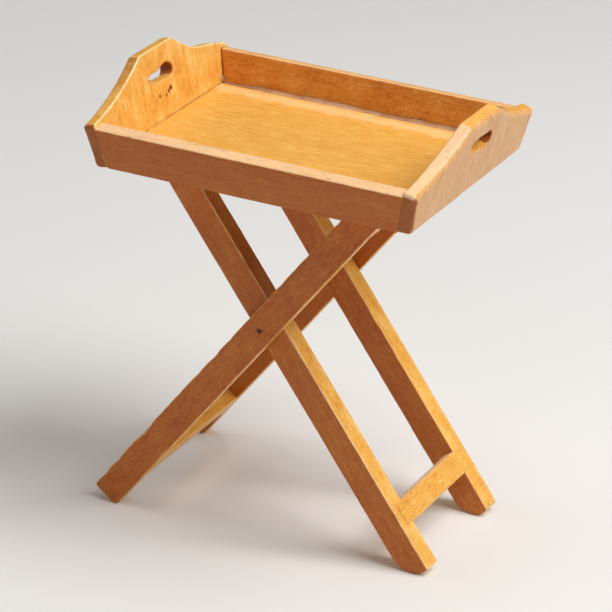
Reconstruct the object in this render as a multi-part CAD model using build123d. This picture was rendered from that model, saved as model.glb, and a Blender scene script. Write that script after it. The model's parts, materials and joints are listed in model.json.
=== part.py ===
from build123d import *
import os
from math import asin, cos, degrees, radians, sin, sqrt, tan

# Folding tray table, dollhouse size. Millimetres, +Z up, floor at Z = 0.
# X runs along the tray, Y across it, and the two pivot pins lie on X = 0.
# The back is +Y. The outer frame leans to +X at its top, the inner frame to -X.

# ---------------------------------------------------------------- driving dimensions

# tray
TRAY_LENGTH = 57.0          # along X, outside, at the height of the side boards' rim
TRAY_DEPTH = 42.4           # along Y, outside, at the same height
TRAY_UNDERSIDE = 60.1       # height of the tray's underside above the floor
RIM_RISE = 6.6              # rim above the underside
FLARE = 13.0                # degrees, how far all four boards lean outward
END_BOARD = 2.4             # thickness of the two end boards
END_SPARE = 1.0             # over-size of an end board before it is trimmed flush
SIDE_BOARD = 2.4            # thickness of the front and back boards
FLOOR_BOARD = 1.9           # thickness of the tray floor
FLOOR_EDGE_ROUND = 0.7      # rounded top edge of the floor along the back
HANDLE_HALF = 5.0           # half the length of the flat top of a handle
HANDLE_RISE = 12.85         # handle top above the underside, along the board
CURVE_SAG = 0.9             # how far the curve below a handle dips from its chord
HOLE_LENGTH = 7.4           # hand hole
HOLE_HEIGHT = 2.5
HOLE_RISE = 8.45            # centre of the hand hole above the underside, along the board
BOTTOM_CORNER = 0.9         # rounded lower corners of the end boards
BOTTOM_ROUND = 0.9          # rounded long lower edge of the end boards, outside
RIM_CORNER = 0.6            # rounded corners of the end boards at the rim
SHOULDER = 0.9              # rounded ends of a handle's flat top

# stand
PIN_HEIGHT = 36.8           # pivot axis above the floor
INNER_LEAN = 36.3           # degrees from upright
OUTER_LEAN = 37.6
LEG_WIDTH = 4.9
INNER_LEG = 3.55            # thickness of an inner leg along Y
OUTER_LEG = 2.65            # thickness of an outer leg along Y
INNER_FACE = 13.05          # Y of the inner legs' outer faces
LEG_GAP = 0.1               # air between an inner leg and the outer leg beside it
INNER_FOOT_ROUND = 3.95     # the inner feet's rounded end, a single arc
FOOT_CORNER_LOW = 1.1       # rounded corner that an outer foot stands on
FOOT_CORNER_HIGH = 0.7      # the other corner of its square-cut end
STRETCHER_WIDTH = 4.0
STRETCHER_BOARD = 2.2       # thickness of a stretcher, all of it let into the legs
STRETCHER_LAP = 0.55        # share of a leg's thickness that a stretcher goes into
INNER_STRETCHER_TOP = 34.45  # pivot to the upper edge of a stretcher, along the leg
OUTER_STRETCHER_TOP = 34.1
RAIL_WIDTH = 3.2            # top rails, hidden under the tray
RAIL_BOARD = 1.7
RAIL_DROP = 1.6             # rail below the horizontal cut at the top of a leg

# pivot pins, fixed in the outer legs and free to turn in the inner legs
PIN_DIA = 0.8
BORE_CLEARANCE = 0.03       # radial
PIN_SUNK = 0.12             # head below the outer leg's face
PIN_DEPTH = 2.7             # pin's reach into an inner leg
BORE_SPARE = 0.2            # bore deeper than the pin

# stop battens under the tray, outboard of the leg tops
BATTEN_WIDTH = 2.0
BATTEN_DROP = 1.5
BATTEN_GAP = 0.2
BATTEN_LENGTH = 30.0

EDGE = 0.3                  # softened edges of the wood

# ---------------------------------------------------------------- worked-out sizes

FLARE_TAN = tan(radians(FLARE))
BOTTOM_LENGTH = TRAY_LENGTH - 2 * RIM_RISE * FLARE_TAN
BOTTOM_DEPTH = TRAY_DEPTH - 2 * RIM_RISE * FLARE_TAN
RIM_SLANT = RIM_RISE / cos(radians(FLARE))
OUTER_INSIDE = INNER_FACE + LEG_GAP
OUTER_FACE = OUTER_INSIDE + OUTER_LEG
HALF_LEG = LEG_WIDTH / 2
BIG = 120.0


def solid_of(shape):
    """The single solid of a shape, as a plain Solid."""
    return shape.solids()[0]


def save(name, shape):
    """Write one piece to its own file."""
    export_step(solid_of(shape), f"parts/{name}.step")


# ---------------------------------------------------------------- tray

def flared_space(half_x, half_y):
    """The space above the underside and between four planes that lean like the boards."""
    space = Pos(0, 0, TRAY_UNDERSIDE + BIG / 2) * Box(2 * BIG, 2 * BIG, BIG)
    beyond_x = Rot(Y=FLARE) * Pos(BIG, 0, 0) * Box(2 * BIG, 4 * BIG, 4 * BIG)
    beyond_y = Rot(X=-FLARE) * Pos(0, BIG, 0) * Box(4 * BIG, 2 * BIG, 4 * BIG)
    beyond_x = Pos(half_x, 0, TRAY_UNDERSIDE) * beyond_x
    beyond_y = Pos(0, half_y, TRAY_UNDERSIDE) * beyond_y
    space = space - beyond_x - mirror(beyond_x, Plane.YZ)
    return space - beyond_y - mirror(beyond_y, Plane.XZ)


def slanted(thickness):
    """Horizontal thickness of a leaning board."""
    return thickness / cos(radians(FLARE))


def tray_floor():
    """The panel between the boards, bevelled at its edges to meet them."""
    half_x = BOTTOM_LENGTH / 2 - slanted(END_BOARD)
    half_y = BOTTOM_DEPTH / 2 - slanted(SIDE_BOARD)
    slab = Pos(0, 0, TRAY_UNDERSIDE + FLOOR_BOARD / 2) * Box(BIG, BIG, FLOOR_BOARD)
    panel = flared_space(half_x, half_y) & slab
    back_edge = panel.edges().filter_by(Axis.X).group_by(Axis.Z)[-1].sort_by(Axis.Y)[-1]
    return fillet(back_edge, FLOOR_EDGE_ROUND)


def side_board(back):
    """The front or back board, leaning out, with its top edge square to its face."""
    board = Pos(0, SIDE_BOARD / -2, RIM_SLANT / 2) * Box(BIG, SIDE_BOARD, RIM_SLANT)
    board += Pos(0, SIDE_BOARD / -2, -1) * Box(BIG, SIDE_BOARD, 2)
    top_edges = board.edges().filter_by(Axis.X).group_by(Axis.Z)[-1]
    board = fillet(top_edges, EDGE)
    board = Pos(0, BOTTOM_DEPTH / 2, TRAY_UNDERSIDE) * Rot(X=-FLARE) * board
    ends = flared_space(BOTTOM_LENGTH / 2 - slanted(END_BOARD), BIG / 2)
    board = board & ends
    return board if back else mirror(board, Plane.XZ)


def end_outline():
    """Outline of an end board, along Y and up the board, a little over size below."""
    slope = sin(radians(FLARE))
    foot = Vector(BOTTOM_DEPTH / 2 + END_SPARE - END_SPARE * slope, -END_SPARE)
    rim = Vector(BOTTOM_DEPTH / 2 + END_SPARE + RIM_SLANT * slope, RIM_SLANT)
    shoulder = Vector(HANDLE_HALF, HANDLE_RISE)
    chord = rim - shoulder
    dip = Vector(chord.Y, -chord.X).normalized() * CURVE_SAG
    middle = (rim + shoulder) * 0.5 + dip
    half = [foot, rim, middle, shoulder]
    other = [Vector(-p.X, p.Y) for p in half]
    lines = Curve() + [
        Line(other[0], half[0]),
        Line(half[0], half[1]),
        ThreePointArc(*half[1:]),
        Line(half[3], other[3]),
        ThreePointArc(*other[:0:-1]),
        Line(other[1], other[0]),
    ]
    face = make_face(lines)
    shoulders = face.vertices().group_by(Axis.Y)[-1]
    return fillet(shoulders, SHOULDER)


def end_board(right):
    """An end board with its handle and hand hole, leaning out, flush with the side boards."""
    outline = end_outline() - Pos(0, HOLE_RISE) * SlotOverall(HOLE_LENGTH, HOLE_HEIGHT)
    board = extrude(Plane.YZ * outline, -END_BOARD)
    place = Pos(BOTTOM_LENGTH / 2, 0, TRAY_UNDERSIDE) * Rot(Y=FLARE)
    board = board & (place.inverse() * flared_space(BIG / 2, BOTTOM_DEPTH / 2))

    board = fillet(corner_edges(board, low=-END_SPARE, high=0), BOTTOM_CORNER)
    board = fillet(corner_edges(board, low=RIM_SLANT - 1, high=RIM_SLANT + 1), RIM_CORNER)
    lowest = board.faces().sort_by(Axis.X)[-1].edges().filter_by(Axis.Y).group_by(Axis.Z)[0]
    board = fillet(lowest, BOTTOM_ROUND)
    outer = board.faces().sort_by(Axis.X)[-1]
    board = fillet(outer.edges().filter_by(lambda e: e.center().Z > BOTTOM_ROUND * 1.2), EDGE)
    inner = board.faces().sort_by(Axis.X)[0]
    free = inner.edges().filter_by(lambda e: e.center().Z > HOLE_RISE - HOLE_HEIGHT)
    board = fillet(free, EDGE)
    board = place * board
    return board if right else mirror(board, Plane.YZ)


def corner_edges(board, low, high):
    """The two edges that run through an end board's thickness at its front and back."""
    through = board.edges().filter_by(lambda e: e.bounding_box().size.X > END_BOARD / 2)
    level = through.filter_by(lambda e: low < e.center().Z < high)
    across = level.sort_by(Axis.Y)
    return [across[0], across[-1]]


def batten(right):
    """A stop batten glued under the tray just outboard of the leg tops."""
    lean = OUTER_LEAN if right else INNER_LEAN
    leg_corner = HALF_LEG * cos(radians(lean)) + top_cut(lean, HALF_LEG) * sin(radians(lean))
    strip = Box(BATTEN_WIDTH, BATTEN_LENGTH, BATTEN_DROP)
    strip = fillet(strip.edges().filter_by(Axis.Y).group_by(Axis.Z)[0], EDGE)
    x = leg_corner + BATTEN_GAP + BATTEN_WIDTH / 2
    strip = Pos(x, 0, TRAY_UNDERSIDE - BATTEN_DROP / 2) * strip
    return strip if right else mirror(strip, Plane.YZ)


# ---------------------------------------------------------------- stand

def top_cut(lean, across):
    """Distance up the leg, from the pivot, of its horizontal cut under the tray.

    across is measured square to the leg, toward +X; lean is + for the outer frame."""
    return (TRAY_UNDERSIDE - PIN_HEIGHT + across * sin(radians(lean))) / cos(radians(lean))


def inner_foot_arc():
    """The rounded end of an inner foot: tangent to the leg's -X side and to the floor."""
    lean = radians(-INNER_LEAN)
    across = INNER_FOOT_ROUND - HALF_LEG
    along = (INNER_FOOT_ROUND - PIN_HEIGHT + across * sin(lean)) / cos(lean)
    toe = along - sqrt(INNER_FOOT_ROUND**2 - (HALF_LEG - across) ** 2)
    low = (across, along - INNER_FOOT_ROUND)
    return ThreePointArc((-HALF_LEG, along), low, (HALF_LEG, toe))


def outer_foot_line():
    """The square end of an outer foot; its rounded lower corner just meets the floor."""
    lean = radians(OUTER_LEAN)
    centre = (FOOT_CORNER_LOW - PIN_HEIGHT + (HALF_LEG - FOOT_CORNER_LOW) * sin(lean)) / cos(lean)
    end = centre - FOOT_CORNER_LOW
    return Line((-HALF_LEG, end), (HALF_LEG, end))


def leg_face(lean):
    """Side view of a leg, upright about the pivot: X across it, Y along it."""
    foot = inner_foot_arc() if lean < 0 else outer_foot_line()
    top_left = (-HALF_LEG, top_cut(lean, -HALF_LEG))
    top_right = (HALF_LEG, top_cut(lean, HALF_LEG))
    left, right = foot @ 0, foot @ 1
    sides = [Line(left, top_left), Line(top_left, top_right), Line(top_right, right)]
    face = make_face(Curve() + [foot] + sides)
    if lean > 0:
        corners = face.vertices().group_by(Axis.Y)[0].sort_by(Axis.X)
        face = fillet(corners[0], FOOT_CORNER_HIGH)
        corner = face.vertices().group_by(Axis.Y)[0].sort_by(Axis.X)[-1]
        face = fillet(corner, FOOT_CORNER_LOW)
    return face


def cross_piece(top, width, board, reach):
    """A stretcher or rail in the upright frame: flush with the legs' +X side."""
    piece = Box(board, 2 * reach, width)
    piece = Pos(HALF_LEG - board / 2, 0, top - width / 2) * piece
    return fillet(piece.edges().filter_by(Axis.Y), EDGE)


def leg(lean, face_y, thickness, cuts):
    """A front leg in the upright frame, with pockets for the cross pieces."""
    blank = extrude(Plane.XZ * leg_face(lean), thickness)
    blank = Pos(0, -face_y + thickness, 0) * blank
    for side in (0, -1):
        blank = fillet(blank.faces().sort_by(Axis.Y)[side].edges(), EDGE)
    for cut in cuts:
        blank -= cut
    return blank


def stand_up(shape, lean):
    """Lean a piece about the pivot and lift the pivot to its height."""
    return Pos(0, 0, PIN_HEIGHT) * Rot(Y=lean) * shape


def frame(name, lean, face_y, thickness, stretcher_top):
    """Two legs, a stretcher and a top rail, one file each."""
    reach = face_y - thickness * (1 - STRETCHER_LAP)
    rail_top = top_cut(lean, HALF_LEG if lean < 0 else HALF_LEG - RAIL_BOARD) - RAIL_DROP
    stretcher = cross_piece(-stretcher_top, STRETCHER_WIDTH, STRETCHER_BOARD, reach)
    rail = cross_piece(rail_top, RAIL_WIDTH, RAIL_BOARD, reach)
    front = leg(lean, face_y, thickness, [stretcher, rail])
    if lean < 0:
        front -= pivot(PIN_DIA / 2 + BORE_CLEARANCE, -face_y - 1, -face_y + PIN_DEPTH + BORE_SPARE)
    else:
        front -= pivot(PIN_DIA / 2, -face_y - 1, -face_y + thickness + 1)
    save(f"{name}_leg_front", stand_up(front, lean))
    save(f"{name}_leg_back", stand_up(mirror(front, Plane.XZ), lean))
    save(f"{name}_stretcher", stand_up(stretcher, lean))
    save(f"{name}_top_rail", stand_up(rail, lean))


def pivot(radius, y_from, y_to):
    """A round bar on the pivot axis, in the upright frame."""
    bar = Rot(X=90) * Cylinder(radius, y_to - y_from)
    return Pos(0, (y_from + y_to) / 2, 0) * bar


def main():
    os.makedirs("parts", exist_ok=True)
    save("tray_floor", tray_floor())
    save("tray_front_board", side_board(back=False))
    save("tray_back_board", side_board(back=True))
    save("tray_left_end", end_board(right=False))
    save("tray_right_end", end_board(right=True))

    frame("inner", -INNER_LEAN, INNER_FACE, INNER_LEG, INNER_STRETCHER_TOP)
    frame("outer", OUTER_LEAN, OUTER_FACE, OUTER_LEG, OUTER_STRETCHER_TOP)

    save("tray_batten_right", batten(right=True))
    save("tray_batten_left", batten(right=False))

    pin = pivot(PIN_DIA / 2, -OUTER_FACE + PIN_SUNK, -INNER_FACE + PIN_DEPTH)
    save("pivot_pin_front", Pos(0, 0, PIN_HEIGHT) * pin)
    save("pivot_pin_back", Pos(0, 0, PIN_HEIGHT) * mirror(pin, Plane.XZ))

    # folded: an inner leg's face meets the upper edge of the outer stretcher
    blocked = 2 * degrees(asin(HALF_LEG / OUTER_STRETCHER_TOP))
    print("fold range, degrees:", INNER_LEAN + OUTER_LEAN - blocked)


main()
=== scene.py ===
import json
import random
from math import cos, exp, radians, sin

import bmesh
import bpy
from mathutils import Matrix, Quaternion, Vector, noise

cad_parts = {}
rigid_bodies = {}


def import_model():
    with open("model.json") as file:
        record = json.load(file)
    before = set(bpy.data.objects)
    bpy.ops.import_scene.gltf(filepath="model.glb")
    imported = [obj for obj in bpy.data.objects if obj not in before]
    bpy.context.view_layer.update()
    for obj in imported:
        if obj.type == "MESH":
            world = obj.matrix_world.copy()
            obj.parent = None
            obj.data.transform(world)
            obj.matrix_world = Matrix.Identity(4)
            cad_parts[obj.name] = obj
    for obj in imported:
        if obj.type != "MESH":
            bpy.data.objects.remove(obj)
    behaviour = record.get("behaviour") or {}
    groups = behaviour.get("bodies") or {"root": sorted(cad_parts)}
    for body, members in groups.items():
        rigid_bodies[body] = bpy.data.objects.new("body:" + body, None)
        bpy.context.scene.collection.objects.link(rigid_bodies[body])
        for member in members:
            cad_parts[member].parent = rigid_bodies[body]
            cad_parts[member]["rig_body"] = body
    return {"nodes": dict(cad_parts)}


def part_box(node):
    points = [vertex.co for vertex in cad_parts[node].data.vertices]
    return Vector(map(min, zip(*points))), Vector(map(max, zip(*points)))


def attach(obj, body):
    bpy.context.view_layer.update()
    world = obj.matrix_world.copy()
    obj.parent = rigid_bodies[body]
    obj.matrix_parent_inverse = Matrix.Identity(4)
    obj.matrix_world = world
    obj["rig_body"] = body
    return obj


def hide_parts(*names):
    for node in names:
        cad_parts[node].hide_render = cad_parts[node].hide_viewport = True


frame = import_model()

NOISE_SEED = 5                         # without a seed, noise_vector differs from run to run
noise.seed_set(NOISE_SEED)
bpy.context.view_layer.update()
MM = 0.001
UP, ACROSS = (0, 0, 1), (0, 1, 0)
SHARP_ANGLE = radians(40)              # edges sharper than this are shaded as edges


def add_object(name, data):
    """A new object in the scene with this mesh, camera or light."""
    thing = bpy.data.objects.new(name, data)
    bpy.context.collection.objects.link(thing)
    return thing


# ---------------------------------------------------------------- camera

CAMERA_AZIMUTH = 26.76                 # degrees round from the front, toward +X
CAMERA_ELEVATION = 24.61
CAMERA_ROLL = 1.45
CAMERA_DISTANCE = 0.5645
CAMERA_TARGET = Vector((-0.00076, 0.00162, 0.03394))
LENS = 209.3                           # mm, on a sensor 36 mm wide
SENSOR = 36


def make_camera():
    """The photograph's viewpoint: a long lens from the right, above."""
    azimuth, elevation = radians(CAMERA_AZIMUTH), radians(CAMERA_ELEVATION)
    away = Vector((sin(azimuth) * cos(elevation), -cos(azimuth) * cos(elevation), sin(elevation)))
    turn = away.to_track_quat("Z", "Y") @ Quaternion(UP, radians(CAMERA_ROLL))
    data = bpy.data.cameras.new("camera")
    data.lens = LENS
    data.sensor_width = SENSOR
    data.clip_start = 0.01
    data.clip_end = 20
    camera = add_object("camera", data)
    camera.matrix_world = Matrix.LocRotScale(CAMERA_TARGET + away * CAMERA_DISTANCE, turn, None)
    bpy.context.scene.camera = camera


# ---------------------------------------------------------------- light and floor

LIGHTS = (                             # name, place, width of the panel, watts, colour
    ("key", (0.50, 0.10, 0.46), 0.34, 1.7, (1.0, 0.97, 0.93)),
    ("high", (0.35, 0.0, 0.60), 0.40, 2.9, (1.0, 0.98, 0.96)),
    ("top", (0.05, 0.10, 0.65), 0.50, 1.1, (1.0, 0.98, 0.96)),
    ("left", (-0.6, -0.1, 0.40), 0.40, 0.9, (1.0, 0.98, 0.96)),
    ("fill", (-0.05, -0.62, 0.30), 0.40, 0.4, (1.0, 0.90, 0.84)),
)
LIGHT_AIM = Vector((0, 0, 0.04))       # the middle of the object
WORLD_COLOUR = (1, 1, 1, 1)
WORLD_STRENGTH = 0.06
FLOOR_REACH = 3.0
FLOOR_COLOUR = (0.80, 0.80, 0.795, 1)
FLOOR_ROUGHNESS = 0.7


def area_light(name, spot, size, power, colour):
    """A soft square panel light, aimed at the middle of the object."""
    data = bpy.data.lights.new(name, "AREA")
    data.shape = "SQUARE"
    data.size = size
    data.energy = power
    data.color = colour
    spot = Vector(spot)
    turn = (spot - LIGHT_AIM).to_track_quat("Z", "Y")
    add_object(name, data).matrix_world = Matrix.LocRotScale(spot, turn, None)


def make_light():
    """Two strong soft panels to the right and above, and weaker ones overhead, to the left and in front."""
    for light in LIGHTS:
        area_light(*light)
    world = bpy.data.worlds.new("studio")
    world.use_nodes = True
    background = world.node_tree.nodes["Background"]
    background.inputs["Color"].default_value = WORLD_COLOUR
    background.inputs["Strength"].default_value = WORLD_STRENGTH
    scene = bpy.context.scene
    scene.world = world
    scene.view_settings.view_transform = "Standard"


def make_floor():
    """A plain pale floor."""
    mesh = bpy.data.meshes.new("floor")
    corners = [(x * FLOOR_REACH, y * FLOOR_REACH, 0) for x, y in ((-1, -1), (1, -1), (1, 1), (-1, 1))]
    mesh.from_pydata(corners, [], [range(4)])
    floor = add_object("floor", mesh)
    material = bpy.data.materials.new("floor_white")
    material.use_nodes = True
    shader = material.node_tree.nodes["Principled BSDF"]
    shader.inputs["Base Color"].default_value = FLOOR_COLOUR
    shader.inputs["Roughness"].default_value = FLOOR_ROUGHNESS
    mesh.materials.append(material)


# ---------------------------------------------------------------- node helpers

MIX_FACTOR, MIX_A, MIX_B, MIX_RESULT = "Factor", 6, 7, 2      # the Mix node's sockets for colours


class Recipe:
    """One material's node tree, built a node at a time."""

    def __init__(self, name):
        self.material = bpy.data.materials.new(name)
        self.material.use_nodes = True
        self.tree = self.material.node_tree
        self.shader = self.tree.nodes["Principled BSDF"]
        self.place = self.add("ShaderNodeTexCoord", {}, "Object")
        self.normal = self.place.node.outputs["Normal"]

    def add(self, kind, inputs, output=0, **settings):
        """A node with its settings and inputs; gives one of its outputs."""
        node = self.tree.nodes.new(kind)
        for name, value in settings.items():
            setattr(node, name, value)
        for name, value in inputs.items():
            self.feed(node.inputs[name], value)
        return node.outputs[output]

    def feed(self, socket, value):
        """Links another node's output to a socket, or sets its number or colour."""
        if isinstance(value, bpy.types.NodeSocket):
            self.tree.links.new(value, socket)
        else:
            socket.default_value = value

    def maths(self, operation, a, b=0.0, clamp=False):
        return self.add("ShaderNodeMath", {0: a, 1: b}, operation=operation, use_clamp=clamp)

    def product(self, first, *others):
        """All of these multiplied."""
        for other in others:
            first = self.maths("MULTIPLY", first, other)
        return first

    def vary(self, level, pattern, spread):
        """A level that rises with a pattern."""
        return self.maths("ADD", level, self.maths("MULTIPLY", pattern, spread))

    def centred(self, pattern):
        """A pattern that runs from -0.5 to 0.5."""
        return self.maths("SUBTRACT", pattern, 0.5)

    def dot(self, vector, axis):
        inputs = {0: vector, 1: tuple(axis)}
        return self.add("ShaderNodeVectorMath", inputs, "Value", operation="DOT_PRODUCT")

    def distance(self, a, b):
        return self.add("ShaderNodeVectorMath", {0: a, 1: tuple(b)}, "Value", operation="DISTANCE")

    def noise(self, vector, scale, detail=2.0, distortion=0.0):
        inputs = {"Vector": vector, "Scale": scale, "Detail": detail, "Distortion": distortion}
        return self.add("ShaderNodeTexNoise", inputs, "Fac")

    def between(self, value, low, high):
        """0 at low, 1 at high and a smooth step between."""
        inputs = {"Value": value, "From Min": low, "From Max": high}
        return self.add("ShaderNodeMapRange", inputs, interpolation_type="SMOOTHSTEP")

    def mix(self, factor, a, b, blend="MIX"):
        """Colour a where the factor is 0, and colour b where it is 1."""
        inputs = {MIX_FACTOR: factor, MIX_A: self.rgba(a), MIX_B: self.rgba(b)}
        return self.add("ShaderNodeMix", inputs, MIX_RESULT, data_type="RGBA", blend_type=blend)

    def tint(self, factor, colour, filter_colour):
        """The colour, multiplied by another where the factor is 1."""
        return self.mix(factor, colour, self.mix(1.0, colour, filter_colour, "MULTIPLY"))

    @staticmethod
    def rgba(colour):
        return (*colour, 1.0) if isinstance(colour, tuple) else colour

    def finish(self, colour, roughness, height, strength, distance):
        """Gives the shader its colour, roughness and bump."""
        bump = self.add("ShaderNodeBump", {"Strength": strength, "Distance": distance, "Height": height})
        self.feed(self.shader.inputs["Base Color"], colour)
        self.feed(self.shader.inputs["Roughness"], roughness)
        self.feed(self.shader.inputs["Normal"], bump)
        return self.material


# ---------------------------------------------------------------- wood

HONEY_DEEP = (0.66, 0.265, 0.040)
HONEY = (0.80, 0.40, 0.072)
HONEY_PALE = (0.90, 0.56, 0.17)
STAIN_AND_SIDE_SHADE = (0.66, 0.36, 0.22)            # what the stain and painted shade do to the honey on a face to the front or back: darker and redder
PALE_WEAR_AND_HIGHLIGHT = (0.94, 0.58, 0.22)              # the colour of a worn edge with a painted highlight, and of the painted glints
RUBBED_AND_SHEEN = (0.91, 0.61, 0.37)            # where the stain is rubbed through, and where a painted sheen stands for reflected light
PORE = (0.50, 0.36, 0.32)              # what a pore does to the colour round it
TORN = (0.26, 0.065, 0.012)
PAINTED_SHEEN = (0.82, 0.86, 1.75)               # a painted sheen on the outside of an end board: it makes the colour greyer
HIGHLIGHT_WAY = (0.5, 0, 0.86)              # edges turned this way, toward the high lamp, are palest: wear and painted highlight

FIBRE_STRETCH = 9.0                    # how many times longer than wide the fibres are
GRAINS = {                             # times shorter than the fibres, scale, detail, distortion
    "fibres": (1, 3.4, 4.0, 0.0),
    "streaks": (1, 0.9, 3.0, 0.6),
    "pores": (3, 3.1, 2.0, 0.0),
    "grit": (4, 2.6, 2.0, 0.0),
}
BLOTCHES = {                           # scale, detail
    "clouds": (260.0, 3.0),
    # painted glints: pale speckles
    "glint_specks": (2400.0, 2.0),
}
TONE_DEEP, TONE_HONEY, TONE_PALE = -0.45, 0.0, 0.5            # the tones where each honey is reached
SPECK_EDGE, PORE_EDGE = (0.64, 0.72), (0.60, 0.70)            # the parts of their noise that show
SIDE_BLEND = 0.3                       # how softly the stain and painted shade begin as a face turns
OUTSIDE_FROM = (0.45, 0.75)            # the same for the painted sheen on the outside of an end board
HOLE_REACH = (4.9 * MM, 4.3 * MM)      # no pale edges, worn or with painted highlight, this near to a hand hole's middle
WALL_SHOWS = 0.92                      # how strongly a hand hole's wall is darkened: torn end grain, and painted shade
SCAR_WOBBLE = 1500.0                   # scale of the raggedness of a scar, and of a line along a joint
SEAM_WOBBLE = 420.0
LACQUER = {"Specular IOR Level": 0.25, "Coat Weight": 0.15, "Coat Roughness": 0.18}


def grain_space(wood, axes, seed):
    """Millimetres in the piece's own axes, shrunk along the grain, so that a texture there runs with it."""
    along, across, out = (wood.dot(wood.place, axis / MM) for axis in axes)
    inputs = {"X": wood.maths("DIVIDE", along, FIBRE_STRETCH), "Y": across, "Z": out}
    space = wood.add("ShaderNodeCombineXYZ", inputs)
    return wood.add("ShaderNodeVectorMath", {0: space, 1: (seed, seed * 1.7, seed * 2.3)})


def wood_patterns(wood, axes, seed):
    """The patterns that the colour, roughness and bump are made from, each from 0 to 1."""
    space = grain_space(wood, axes, seed)
    patterns = {}
    for name, (shorter, *settings) in GRAINS.items():
        squeezed = wood.add("ShaderNodeVectorMath", {0: space, 1: (shorter, 1, 1)}, operation="MULTIPLY")
        patterns[name] = wood.noise(squeezed, *settings)
    for name, settings in BLOTCHES.items():
        patterns[name] = wood.noise(wood.place, *settings)
    return patterns


def honey(wood, patterns, look):
    """Lacquered wood, from deep to pale honey with small bright speckles, which are painted glints."""
    tone = look["tone"]
    for name in ("fibres", "streaks", "clouds", "grit"):
        tone = wood.vary(tone, wood.centred(patterns[name]), look[name])
    colour = wood.mix(wood.between(tone, TONE_DEEP, TONE_HONEY), HONEY_DEEP, HONEY)
    colour = wood.mix(wood.between(tone, TONE_HONEY, TONE_PALE), colour, HONEY_PALE)
    # painted glints: pale speckles scattered over the surface
    glint_specks = wood.product(wood.between(patterns["glint_specks"], *SPECK_EDGE), look["glint_specks"])
    return wood.mix(glint_specks, colour, PALE_WEAR_AND_HIGHLIGHT)


def stain_and_painted_light(wood, colour, look):
    """The reddish-brown stain with painted shade front and back, a painted shadow of the tray above a height,
    and a painted sheen on the outside of an end board.
    """
    # stain and painted shade: faces turned to the front or back are made darker and redder, partly standing
    # for the shade they sit in
    facing = wood.maths("ABSOLUTE", wood.dot(wood.normal, ACROSS))
    side = wood.between(facing, look["side_from"], look["side_from"] + SIDE_BLEND)
    colour = wood.tint(side, colour, look["stain_and_side_shade"])
    # painted shadow: the tray's shadow on the upper part of a leg's narrow faces, darkened into the colour
    if look["painted_tray_shadow"]:
        low, high, painted_tray_shadow = look["painted_tray_shadow"]
        above = wood.between(wood.dot(wood.place, UP), low, high)
        colour = wood.tint(wood.product(above, wood.maths("SUBTRACT", 1.0, side)), colour, painted_tray_shadow)
    # painted sheen: the outside face of an end board is greyed as if it reflected pale light
    if look["outside"]:
        outer = wood.between(wood.dot(wood.normal, look["outside"]), *OUTSIDE_FROM)
        colour = wood.tint(outer, colour, PAINTED_SHEEN)
    return colour


def near_hole(wood, middle):
    """1 round a hand hole and 0 elsewhere."""
    if middle is None:
        return 0.0
    return wood.between(wood.distance(wood.place, middle), *HOLE_REACH)


def rounded(wood, out):
    """1 on the rounded edges of the widest faces and 0 on the flats."""
    tilt = wood.maths("POWER", wood.dot(wood.normal, out), 2.0)
    turned = wood.product(tilt, wood.maths("SUBTRACT", 1.0, tilt))
    return wood.between(turned, 0.03, 0.2)


def worn(wood, colour, patterns, out, clear, look):
    """Pale edges, worn and with a painted highlight where they turn toward the high lamp, and faces where the
    stain is rubbed through with a painted sheen; neither where clear is 0.
    """
    edge = wood.product(rounded(wood, out), clear)
    # painted highlight: edges turned toward the high lamp are made palest
    toward_high_lamp = wood.between(wood.dot(wood.normal, HIGHLIGHT_WAY), 0.0, 0.5)
    patchy = wood.between(wood.maths("ADD", patterns["clouds"], patterns["fibres"]), 0.6, 1.05)
    colour = wood.mix(wood.product(edge, toward_high_lamp, look["bead"], patchy), colour, look["edge_wear_and_highlight_colour"])
    # stain rubbed through, and painted sheen: faces turned a given way are paled in patches
    raised = wood.between(wood.dot(wood.normal, look["rubbed_and_sheen_way"]), *look["rubbed_and_sheen_from"])
    patchy_rub_and_sheen = wood.between(wood.vary(patterns["streaks"], patterns["clouds"], 0.4), 0.45, 0.8)
    patchy_rub_and_sheen = wood.product(wood.maths("ADD", patchy_rub_and_sheen, 0.6, True), look["rubbed_and_sheen"])
    return wood.mix(wood.product(raised, clear, patchy_rub_and_sheen), colour, RUBBED_AND_SHEEN)


def seam_band(wood, axis, level, width, strength):
    """A ragged band of this strength round the plane at this level along an axis."""
    ragged = wood.centred(wood.noise(wood.place, SEAM_WOBBLE, 3.0))
    away = wood.maths("ABSOLUTE", wood.maths("SUBTRACT", wood.dot(wood.place, axis), level))
    away = wood.vary(away, ragged, width * 1.6)
    return wood.product(wood.between(away, width, width * 0.2), strength)


def hole_wall_and_shade(wood, out, near):
    """1 on the torn end and roof of a hand hole, which are also darkened as painted shade, and 0 on its sill.
    """
    wall = wood.between(wood.maths("ABSOLUTE", wood.dot(wood.normal, out)), 0.75, 0.4)
    # painted shade: the hole's roof and ends, turned away from the light, are darkened; its upward sill is
    # not
    roof_shade = wood.between(wood.dot(wood.normal, UP), 0.45, 0.1)
    return wood.product(near, wall, roof_shade, WALL_SHOWS)


def scar(wood, spot, size):
    """1 inside a small ragged spot."""
    settings = {"Vector": wood.place, "Scale": SCAR_WOBBLE, "Detail": 2.0}
    wobble = wood.add("ShaderNodeTexNoise", settings, "Color")
    inputs = {0: wobble, 1: (size, size, size), 2: wood.place}
    moved = wood.add("ShaderNodeVectorMath", inputs, operation="MULTIPLY_ADD")
    middle = tuple(c + size / 2 for c in spot)
    return wood.between(wood.distance(moved, middle), size * 0.62, size * 0.45)


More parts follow.
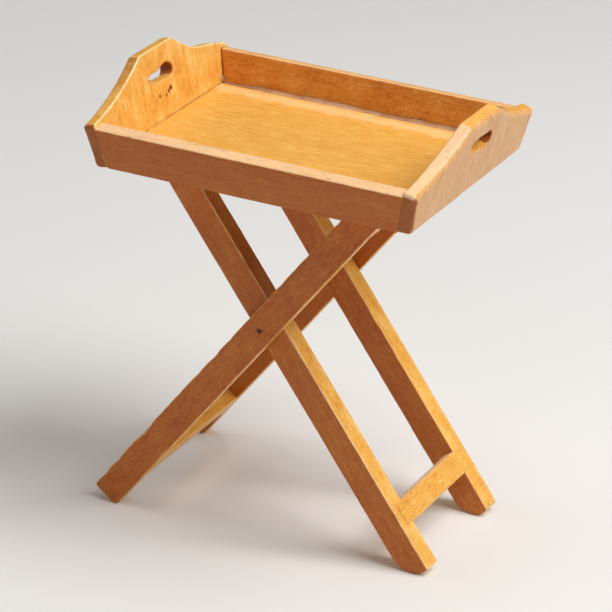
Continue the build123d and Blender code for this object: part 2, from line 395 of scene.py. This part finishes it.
def marked(wood, colour, out, near, look):
    """Lines along joints, the torn wall of a hand hole darkened also as painted shade, and scars."""
    for *band, band_colour in look["bands"]:
        colour = wood.mix(seam_band(wood, *band), colour, band_colour)
    if look["hole"]:
        colour = wood.mix(hole_wall_and_shade(wood, out, near), colour, TORN)
    for spot, size in look["scars"]:
        colour = wood.mix(scar(wood, spot, size), colour, TORN)
    return colour


def make_wood(name, axes, seed, look):
    """Lacquered beech: honey on the edges and the tops, a reddish-brown stain with painted shade on the faces
    front and back.
    """
    wood = Recipe(name)
    out = axes[2]
    patterns = wood_patterns(wood, axes, seed)
    colour = stain_and_painted_light(wood, honey(wood, patterns, look), look)
    near = near_hole(wood, look["hole"])
    colour = worn(wood, colour, patterns, out, wood.maths("SUBTRACT", 1.0, near), look)
    pores = wood.product(wood.between(patterns["pores"], *PORE_EDGE), look["pores"])
    colour = marked(wood, wood.tint(pores, colour, PORE), out, near, look)
    height = wood.maths("SUBTRACT", wood.vary(patterns["fibres"], patterns["streaks"], 0.6), pores)
    for setting, value in LACQUER.items():
        wood.shader.inputs[setting].default_value = value
    return wood.finish(colour, wood.vary(0.30, patterns["clouds"], 0.25), height, 0.35, 0.05 * MM)


# ---------------------------------------------------------------- steel and glue

STEEL, RUST = (0.12, 0.07, 0.045), (0.03, 0.014, 0.008)
STEEL_METALLIC = 0.7
GLUE_PALE, GLUE_DULL = (0.58, 0.34, 0.20), (0.42, 0.22, 0.12)


def make_steel():
    """A rusted steel brad."""
    steel = Recipe("pin_steel")
    stain = steel.noise(steel.place, 3500.0, 3.0)
    colour = steel.mix(steel.between(stain, 0.4, 0.65), STEEL, RUST)
    steel.shader.inputs["Metallic"].default_value = STEEL_METALLIC
    return steel.finish(colour, steel.vary(0.35, stain, 0.3), stain, 0.3, 0.02 * MM)


def make_glue():
    """Dried glue with dust in it: greyish pink, dull and smooth."""
    glue = Recipe("dried_glue")
    dust = glue.noise(glue.place, 900.0, 3.0)
    patches = glue.noise(glue.place, 220.0, 2.0)
    colour = glue.mix(glue.between(patches, 0.4, 0.62), GLUE_PALE, GLUE_DULL)
    colour = glue.mix(glue.between(dust, 0.55, 0.75), colour, HONEY_DEEP)
    return glue.finish(colour, glue.vary(0.3, dust, 0.3), dust, 0.4, 0.05 * MM)


# ---------------------------------------------------------------- hand work: uneven faces, worn edges, dents

FACE_DIP = 0.02 * MM                   # how uneven the flat faces are
EDGE_DIP = 0.10 * MM                   # how far the deepest wear goes into an edge
WIDE_WAVE, NARROW_WAVE = 6 * MM, 1.8 * MM                     # the size of the patches of wear
TEAR_COARSE, TEAR_FINE = 1.4 * MM, 0.6 * MM                   # the size of the jags of a tear
TEAR_END, PUSH_END = 1.35, 2.5         # how many times its reach a tear or a push still moves points
WELD = 1e-6                            # points nearer than this are one
FLAT_ANGLE = radians(0.3)              # faces flatter to each other than this are one


def cut_grid(mesh, axes, step):
    """Cuts a mesh by evenly spaced planes across each axis, so that it can bend and dent."""
    for axis in axes:
        reach = [vertex.co.dot(axis) for vertex in mesh.verts]
        low, high = min(reach), max(reach)
        count = max(1, round((high - low) / step))
        for i in range(1, count):
            geometry = mesh.verts[:] + mesh.edges[:] + mesh.faces[:]
            level = low + (high - low) * i / count
            bmesh.ops.bisect_plane(mesh, geom=geometry, dist=1e-7, plane_co=axis * level, plane_no=axis)


def push(mesh, spot, reach, move):
    """Moves the points near a spot, fading out over its reach."""
    for vertex in mesh.verts:
        away = (vertex.co - spot).length / reach
        if away < PUSH_END:
            vertex.co += move * exp(-away * away)


def lengthen(mesh, along, extra):
    """Makes a piece longer at each end, so that its ends bed into the rounded edges they meet."""
    reach = [vertex.co.dot(along) for vertex in mesh.verts]
    low, high = min(reach), max(reach)
    for vertex in mesh.verts:
        vertex.co += along * extra * (2 * (vertex.co.dot(along) - low) / (high - low) - 1)


def wear_down(mesh, axes, seed, edge_dip):
    """Moves every point in a little: gently on the faces, more in patches along edges, not at the ends."""
    mesh.normal_update()
    along, out = axes[0], axes[2]
    shift = Vector((seed, seed * 1.3, seed * 0.7))
    moves = []
    for vertex in mesh.verts:
        tilt = vertex.normal.dot(out) ** 2
        across = vertex.normal - along * vertex.normal.dot(along)
        on_edge = min(1.0, 4 * tilt * (1 - tilt))
        wide = noise.noise(vertex.co / WIDE_WAVE + shift)
        narrow = noise.noise(vertex.co / NARROW_WAVE + shift)
        dip = FACE_DIP * (1 + wide) + edge_dip * on_edge * max(0.0, narrow + 0.2 * wide)
        moves.append(across * -dip)
    for vertex, move in zip(mesh.verts, moves):
        vertex.co += move


def roughen(mesh, spot, reach, depth):
    """Tears the surface unevenly near a spot."""
    for vertex in mesh.verts:
        away = (vertex.co - spot).length / reach
        if away < TEAR_END:
            jag = noise.noise_vector(vertex.co / TEAR_FINE)
            jag += 0.6 * noise.noise_vector(vertex.co / TEAR_COARSE)
            vertex.co += jag * depth * min(1.0, TEAR_END - away)


def smooth_object(name, data):
    """An object with this mesh, shaded smooth but for its sharp edges."""
    data.shade_smooth()
    data.set_sharp_from_angle(angle=SHARP_ANGLE)
    return add_object(name, data)


def node_copy(name, node):
    """A CAD node's bare mesh, with one face for each flat side."""
    plain = bpy.data.meshes.new(name + "_plain")
    points = [vertex.co for vertex in node.data.vertices]
    plain.from_pydata(points, [], [face.vertices for face in node.data.polygons])
    mesh = bmesh.new()
    mesh.from_mesh(plain)
    bpy.data.meshes.remove(plain)
    bmesh.ops.remove_doubles(mesh, verts=mesh.verts, dist=WELD)
    bmesh.ops.dissolve_limit(mesh, angle_limit=FLAT_ANGLE, verts=mesh.verts, edges=mesh.edges)
    return mesh


def hand_made(name, node, axes, seed, shape):
    """A piece that stands for a CAD node, with the unevenness of hand work."""
    mesh = node_copy(name, node)
    cut_grid(mesh, axes[::-1], shape["step"])
    for spot, reach, move in shape["pushes"]:
        push(mesh, spot, reach, move)
    lengthen(mesh, axes[0], shape["longer"])
    wear_down(mesh, axes, seed, shape["edge_dip"])
    for spot, reach, depth in shape["tears"]:
        roughen(mesh, spot, reach, depth)
    data = bpy.data.meshes.new(name + "_mesh")
    mesh.to_mesh(data)
    mesh.free()
    piece = smooth_object(name + "_worn", data)
    piece.modifiers.new("even_normals", "WEIGHTED_NORMAL").keep_sharp = True
    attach(piece, node["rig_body"])
    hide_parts(node.name)
    return piece


# ---------------------------------------------------------------- beads of glue

BEAD_STEP = 0.5 * MM                   # from one ring of a bead of glue to the next
BEAD_RING = 7                          # points in a ring: a hollow curve, and the corner it fills
BEAD_SWELL, BEAD_WAVE = 0.45, 0.16     # how much a bead's width varies, and how fast
GLUE_SINK = 0.06 * MM                  # how far below the tray floor's top the glue begins
SEAM_GLUE, CORNER_GLUE = 0.45 * MM, 0.5 * MM                  # widths
CORNER_RISE = 0.22                     # how much of the corner's height has glue


def glue_ring(middle, sides, reach):
    """A hollow curve from one side of a corner to the other, and the corner itself."""
    ring = []
    for k in range(BEAD_RING - 1):
        turn = radians(90) * k / (BEAD_RING - 2)
        ring.append(middle + (sides[0] * (1 - sin(turn)) + sides[1] * (1 - cos(turn))) * reach)
    return ring + [middle]


def face_outward(data):
    """Turns every face of a closed mesh outward."""
    mesh = bmesh.new()
    mesh.from_mesh(data)
    bmesh.ops.recalc_face_normals(mesh, faces=mesh.faces)
    mesh.to_mesh(data)
    mesh.free()


def glue_bead(name, start, end, sides, width, material):
    """A hollow bead of glue in the corner between two faces, uneven in width; sides point along the faces."""
    count = max(6, round((end - start).length / BEAD_STEP))
    points, faces = [], []
    for i in range(count + 1):
        share = i / count
        swell = 1 + BEAD_SWELL * noise.noise(Vector((share * count * BEAD_WAVE, width / MM, 0)))
        swell *= min(1.0, 6 * share + 0.2, 6 * (1 - share) + 0.2)
        points += glue_ring(start.lerp(end, share), sides, width * swell)
    for i in range(count):
        for k in range(BEAD_RING):
            a, b = i * BEAD_RING + k, i * BEAD_RING + (k + 1) % BEAD_RING
            faces.append((a, b, b + BEAD_RING, a + BEAD_RING))
    faces.append(range(BEAD_RING))
    faces.append(range(count * BEAD_RING, (count + 1) * BEAD_RING))
    data = bpy.data.meshes.new(name + "_mesh")
    data.from_pydata(points, [], faces)
    face_outward(data)
    data.materials.append(material)
    bead = smooth_object(name, data)
    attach(bead, "tray")


def glue_the_tray():
    """Glue squeezed out along the back of the tray's floor and up its back left corner."""
    material = make_glue()
    low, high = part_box("tray_floor")
    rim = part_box("tray_back_board")[1].z
    slant = radians(FLARE)
    up_back, up_left = Vector((0, sin(slant), cos(slant))), Vector((-sin(slant), 0, cos(slant)))
    right, forward = Vector((1, 0, 0)), Vector((0, -1, 0))
    seam = high.z - GLUE_SINK
    corner = Vector((low.x, high.y, seam))
    seam_end = Vector((high.x, high.y, seam))
    glue_bead("glue_back_seam", corner, seam_end, (forward, up_back), SEAM_GLUE, material)
    top = corner + (up_back + up_left - Vector((0, 0, cos(slant)))) * (rim - seam) * CORNER_RISE
    glue_bead("glue_corner", corner, top, (right, forward), CORNER_GLUE, material)


# ---------------------------------------------------------------- what differs from the CAD's shapes

FLARE = 13.0                           # degrees, how far the tray's boards lean out
HOLE_DROP = 4.55 * MM                  # from a handle's top down to the middle of its hand hole
HALF_BOARD = 1.2 * MM                  # half of an end board's thickness
PLAIN_SHAPE = {
    "step": 0.8 * MM,                  # how finely the piece is cut so that it can bend
    "pushes": (),                      # dents and swellings: middle, reach, move
    "tears": (),                       # torn places: middle, reach, depth
    "edge_dip": EDGE_DIP,
    "longer": 0.0,                     # added at each end
}
LEFT_HOLE = (                          # from the hole's middle, reach and move, all in mm
    ((0, -2.9, 1.25), 1.4, (0, 0, -1.0)),
    ((0, -0.7, 1.25), 1.4, (0, 0, -0.85)),
    ((-0.8, 2.6, 0.9), 1.2, (0, -1.0, -0.5)),
    ((-1.2, -1.9, -1.3), 1.7, (0, 0, 0.75)),
)
LEFT_SHOULDER = (                      # from above the hole, level with the handle's top
    ((0, 9.9, -4.0), 3.6, (0, 0, -0.55)),
    ((0, 16.9, -6.4), 3.0, (0, 0, 0.38)),
)
RIGHT_HOLE = (                         # from the hole's middle
    ((0, -3.7, 0.0), 1.6, (0, 0.9, 0.1)),
    ((0, -1.5, -1.25), 1.5, (0, 0, 0.45)),
    ((0, 3.6, 0.8), 1.1, (0, 0.5, 0.2)),
)
HOLE_TEAR = (3.2 * MM, 0.13 * MM)      # reach and depth
CHIP_INSET = 1.23 * MM                 # the left end's inner face at the chips, from its innermost point
CHIPS = (                              # inward, back and up from there and the hole's middle, size, all in mm
    ((0, 1.6, -2.95), 0.80),
    ((-0.05, 2.3, -2.70), 0.74),
    ((0.10, 0.6, -3.35), 0.42),
    ((0, -1.35, -2.95), 0.52),
)
CORNER_ZONE = 0.9 * MM                 # the points this near to a lower front corner are the corner
CORNER_PUSH = (1.0 * MM, Vector((0, -0.24, -0.24)) * MM)      # reach and move
GAP_STEPS = 30                         # pushes along the joint between the floor and the left end
GAP_INSET, GAP_REACH = 0.4 * MM, 0.9 * MM
GAP_DEPTH, GAP_WAVE = 0.07, 0.05       # mm
GAP_DEEPEST, GAP_MIDDLE, GAP_SPREAD = 0.30, 0.36, 0.05        # mm, and shares of the way back
NICKS, NICK_SEED = 44, 11
NICK_DEPTH, NICK_REACH = (0.02, 0.12), (0.4, 0.8)             # mm
TOE_SPOTS, TOE_REACH = (-1.2, 0.0, 1.2), 0.9 * MM             # mm across the foot
TOE_PUSH = Vector((-0.28, 0, 0.16)) * MM


def dents(middle, rows):
    """Pushes from rows in mm: offset from a middle, reach and move."""
    return [(middle + Vector(offset) * MM, reach * MM, Vector(move) * MM) for offset, reach, move in rows]


def hole_middle(name):
    """The middle of an end board's hand hole."""
    low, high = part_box(name)
    outward = 1 if high.x > 0 else -1
    flare = radians(FLARE)
    lip = high.x if outward > 0 else low.x
    inward = HOLE_DROP * sin(flare) + HALF_BOARD * cos(flare)
    return Vector((lip - outward * inward, 0, high.z - HOLE_DROP))


def chips():
    """Chips torn out of the left end's inner face, below the hand hole: middle and size."""
    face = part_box("tray_left_end")[1].x - CHIP_INSET
    start = Vector((face, 0, hole_middle("tray_left_end").z))
    return [(start + Vector(offset) * MM, size * MM) for offset, size in CHIPS]


def full_corner(node):
    """Fills out the left end's rounded lower front corner, nearly flush with the front board's lower edge."""
    points = [vertex.co for vertex in node.data.vertices]
    bottom = min(point.z for point in points)
    lowest = [point for point in points if point.z < bottom + CORNER_ZONE]
    front = min(point.y for point in lowest)
    nearest = [point for point in lowest if point.y < front + CORNER_ZONE]
    return (sum(nearest, Vector()) / len(nearest), *CORNER_PUSH)


def end_pushes(name, node):
    """An end board's worn hand hole, and on the left one a hollow behind the handle, chips and a corner."""
    hole = hole_middle(name)
    if name == "tray_right_end":
        return dents(hole, RIGHT_HOLE)
    pushes = dents(hole, LEFT_HOLE)
    pushes += dents(Vector((hole.x, 0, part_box(name)[1].z)), LEFT_SHOULDER)
    pushes += [(spot, size * 0.7, Vector((-0.35, 0, 0)) * size) for spot, size in chips()]
    return pushes + [full_corner(node)]


def seam_gap():
    """Opens the joint between the floor and the left end, most a third of the way back."""
    low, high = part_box("tray_floor")
    pushes = []
    for i in range(GAP_STEPS + 1):
        share = i / GAP_STEPS
        spot = Vector((low.x + GAP_INSET, low.y + (high.y - low.y) * share, high.z))
        depth = GAP_DEPTH + GAP_WAVE * noise.noise(Vector((i * 0.7, 0, 0)))
        depth += GAP_DEEPEST * exp(-((share - GAP_MIDDLE) / GAP_SPREAD) ** 2)
        pushes.append((spot, GAP_REACH, Vector((depth * MM, 0, 0))))
    return pushes


def nicks(node):
    """Small nicks along the upper front edge of the outer front leg, where a coarse saw left it wavy."""
    along = leg_axes(node)[0]
    along *= 1 if along.z > 0 else -1
    upper = Vector((-along.z, 0, along.x)) * (1 if along.x > 0 else -1)
    corners = [vertex.co for vertex in node.data.vertices]
    edge, front = max(c.dot(upper) for c in corners), min(c.y for c in corners)
    low, high = min(c.dot(along) for c in corners), max(c.dot(along) for c in corners)
    draw = random.Random(NICK_SEED)
    cuts = []
    for _ in range(NICKS):
        spot = along * draw.uniform(low, high) + upper * (edge - 0.1 * MM) + Vector((0, front + 0.2 * MM, 0))
        depth = draw.uniform(*NICK_DEPTH) * MM
        reach = draw.uniform(*NICK_REACH) * MM
        cuts.append((spot, reach, Vector((0, 0.5, 0)) * depth - upper * depth))
    return cuts


def worn_toe(node):
    """The far inner foot's outer corner, worn round."""
    points = [vertex.co for vertex in node.data.vertices]
    corner = max(points, key=lambda point: point.x).copy()
    corner.y = sum(point.y for point in points) / len(points)
    return [(corner + Vector((0, y * MM, 0)), TOE_REACH, TOE_PUSH) for y in TOE_SPOTS]


def shape_of(name, node):
    """How a wooden piece's shape differs from its CAD node's."""
    shape = dict(PLAIN_SHAPE)
    if name.endswith("_end"):
        tears = [(hole_middle(name), *HOLE_TEAR)]
        shape |= {"pushes": end_pushes(name, node), "tears": tears, "step": 0.45 * MM}
    elif name.endswith("_board"):
        shape |= {"edge_dip": 0.03 * MM, "longer": 0.16 * MM}
    elif name == "tray_floor":
        shape["pushes"] = seam_gap()
    elif name == "inner_leg_back":
        shape |= {"pushes": worn_toe(node), "step": 0.6 * MM}
    elif name == "outer_leg_front":
        shape |= {"pushes": nicks(node), "step": 0.5 * MM}
    return shape


# ---------------------------------------------------------------- which piece gets what look

PLAIN_LOOK = {
    "tone": 0.0,                       # paler above 0 and deeper below
    "fibres": 1.0,                     # these six are how strongly each pattern shows
    "streaks": 0.8,
    "clouds": 0.5,
    "grit": 0.7,
    "pores": 0.3,
    # the pale speckles are painted glints
    "glint_specks": 0.3,
    "stain_and_side_shade": STAIN_AND_SIDE_SHADE,
    "side_from": 0.55,                 # how squarely a face looks to the front or back where the stain and painted shade begin
    "painted_tray_shadow": None,                     # a painted shadow of the tray: the heights it grows between, and its tint
    "outside": None,                   # the way out of an end board
    "bead": 0.5,                       # how pale the edges are: wear, and a painted highlight
    "edge_wear_and_highlight_colour": PALE_WEAR_AND_HIGHLIGHT,
    "rubbed_and_sheen": 0.0,                     # how pale the faces turned this way are: stain rubbed through, and a painted sheen
    "rubbed_and_sheen_way": UP,
    "rubbed_and_sheen_from": (0.3, 0.7),
    "hole": None,                      # the middle of a hand hole
    "scars": (),                       # torn spots: middle, size
    "bands": (),                       # lines along joints: axis, level, width, strength, colour
}
# the end boards' faces to the front and back get a darker stain and painted shade
END_LOOK = {"stain_and_side_shade": (0.50, 0.27, 0.19), "side_from": 0.3, "glint_specks": 0.65, "streaks": 1.0}
LOOKS = {
    "tray_floor": {
        "tone": 0.04, "streaks": 0.5, "pores": 0.12, "grit": 0.4, "fibres": 1.3, "glint_specks": 0.1,
    },
    "tray_front_board": {
        "rubbed_and_sheen": 0.75, "grit": 0.6, "pores": 0.35, "clouds": 0.7,
    },
    "tray_back_board": {
        # the back board: a lighter stain and painted shade on its faces front and back, and a paled top edge,
        # worn and with a painted sheen
        "clouds": 1.1, "glint_specks": 0.7, "grit": 1.3, "stain_and_side_shade": (0.86, 0.66, 0.56), "rubbed_and_sheen": 0.4,
    },
    "tray_left_end": END_LOOK | {
        "tone": 0.08, "clouds": 1.3, "bead": 0.8, "edge_wear_and_highlight_colour": (0.96, 0.74, 0.44),
    },
    "tray_right_end": END_LOOK | {
        "rubbed_and_sheen": 0.75, "rubbed_and_sheen_way": (0, -0.75, 0.66), "rubbed_and_sheen_from": (0.60, 0.80), "bead": 0.15,
    },
    "inner_leg_front": {
        # painted shadow of the tray on this leg's upper edge
        "painted_tray_shadow": (35 * MM, 40 * MM, (0.44, 0.29, 0.30)), "glint_specks": 0.85, "clouds": 1.0, "grit": 1.0,
        "tone": 0.10, "bead": 0.6, "edge_wear_and_highlight_colour": (0.96, 0.72, 0.40),
    },
    "inner_leg_back": {
        "glint_specks": 0.85, "clouds": 1.0, "grit": 1.0, "tone": 0.08, "bead": 0.7,
    },
    "outer_leg_front": {
        "clouds": 1.1, "grit": 1.2,
    },
    "inner_stretcher": {
        # painted reflection: the stretcher's upper edge face is paled as if it reflected the floor
        "rubbed_and_sheen": 0.85, "rubbed_and_sheen_way": (-0.41, 0, 0.91), "rubbed_and_sheen_from": (0.85, 0.97),
        "clouds": 0.7, "glint_specks": 0.5, "grit": 1.2, "streaks": 0.3,
    },
}
PIN_STAIN = 0.85 * MM                  # the size of the stain round a pin's end, and where it is from the pin
PIN_STAIN_SHIFT = Vector((0.25 * MM, 0, -0.1 * MM))
BACK_STRIP = (0.95, 0.68, 0.34)        # the paler strip along the back of the tray's floor


def pin_stain(name):
    """The stain round the end of a leg's pin: middle and size."""
    low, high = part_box(name.replace("outer_leg", "pivot_pin"))
    middle = (low + high) / 2 + PIN_STAIN_SHIFT
    middle.y = low.y if "front" in name else high.y
    return middle, PIN_STAIN


def left_joint(width):
    """A dark line where a piece of the tray meets the left end's inner face."""
    low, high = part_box("tray_floor")
    out = Vector((cos(radians(FLARE)), 0, sin(radians(FLARE))))
    level = out.dot(Vector((low.x, 0, high.z)))
    return out, level + 0.10 * MM, width, 0.9, TORN


def back_strip():
    """The paler strip along the back edge of the tray's floor."""
    return ACROSS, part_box("tray_floor")[1].y - 2.3 * MM, 2.2 * MM, 0.5, BACK_STRIP


def stretcher_joint():
    """A thin dark line where the inner stretcher meets the near leg."""
    return ACROSS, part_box("inner_stretcher")[0].y + 0.05 * MM, 0.16 * MM, 0.6, TORN


def look_of(name):
    """A wooden piece's look, with the marks whose places come from the CAD."""
    look = PLAIN_LOOK | LOOKS.get(name, {})
    if name.endswith("_end"):
        look |= {"hole": hole_middle(name), "outside": (1 if "right" in name else -1, 0, 0)}
    if name == "tray_left_end":
        look["scars"] = chips()
    elif name.startswith("outer_leg"):
        look["scars"] = (pin_stain(name),)
    elif name == "tray_floor":
        look["bands"] = (back_strip(), left_joint(0.22 * MM))
    elif name == "tray_back_board":
        look["bands"] = (left_joint(0.30 * MM),)
    elif name == "inner_stretcher":
        look["bands"] = (stretcher_joint(),)
    return look


# ---------------------------------------------------------------- every node

WEAR_SEED, GRAIN_SEED = 3.1, 7.3       # times a node's number, so that no two pieces look alike


def grain_of(name):
    """Which way the wood runs in a piece, near enough: the piece's own faces make it exact."""
    if name.endswith("_end"):
        return Vector((0, 0, 1))
    if name in ("tray_floor", "tray_front_board", "tray_back_board"):
        return Vector((1, 0, 0))
    return Vector((0, 1, 0))


def grain_axes(node, grain):
    """Along the grain, across it in the widest face, and out of that face."""
    widest = max(node.data.polygons, key=lambda face: face.area)
    out = widest.normal.copy()
    along = (grain - out * grain.dot(out)).normalized()
    return along, out.cross(along).normalized(), out


def leg_axes(node):
    """A leg leans in its own wide face, so its length is across the normal of its widest narrow face."""
    narrow = max((f for f in node.data.polygons if abs(f.normal.y) < 0.1), key=lambda face: face.area)
    out = Vector((0, 1, 0))
    along = narrow.normal.cross(out).normalized()
    return along, out.cross(along), out


def make_wooden(name, node, number):
    """The worn wooden piece that stands for a node, with its material."""
    axes = leg_axes(node) if "leg" in name else grain_axes(node, grain_of(name))
    piece = hand_made(name, node, axes, number * WEAR_SEED, shape_of(name, node))
    piece.data.materials.append(make_wood(name + "_wood", axes, number * GRAIN_SEED, look_of(name)))


def dress():
    """Rusted steel for the pins, which stay the CAD's own, and a worn piece for every wooden node."""
    steel = make_steel()
    for number, (name, node) in enumerate(sorted(frame["nodes"].items())):
        if "pin" in name:
            node.data.materials.clear()
            node.data.materials.append(steel)
        else:
            make_wooden(name, node, number)


dress()
glue_the_tray()
make_camera()
make_light()
make_floor()
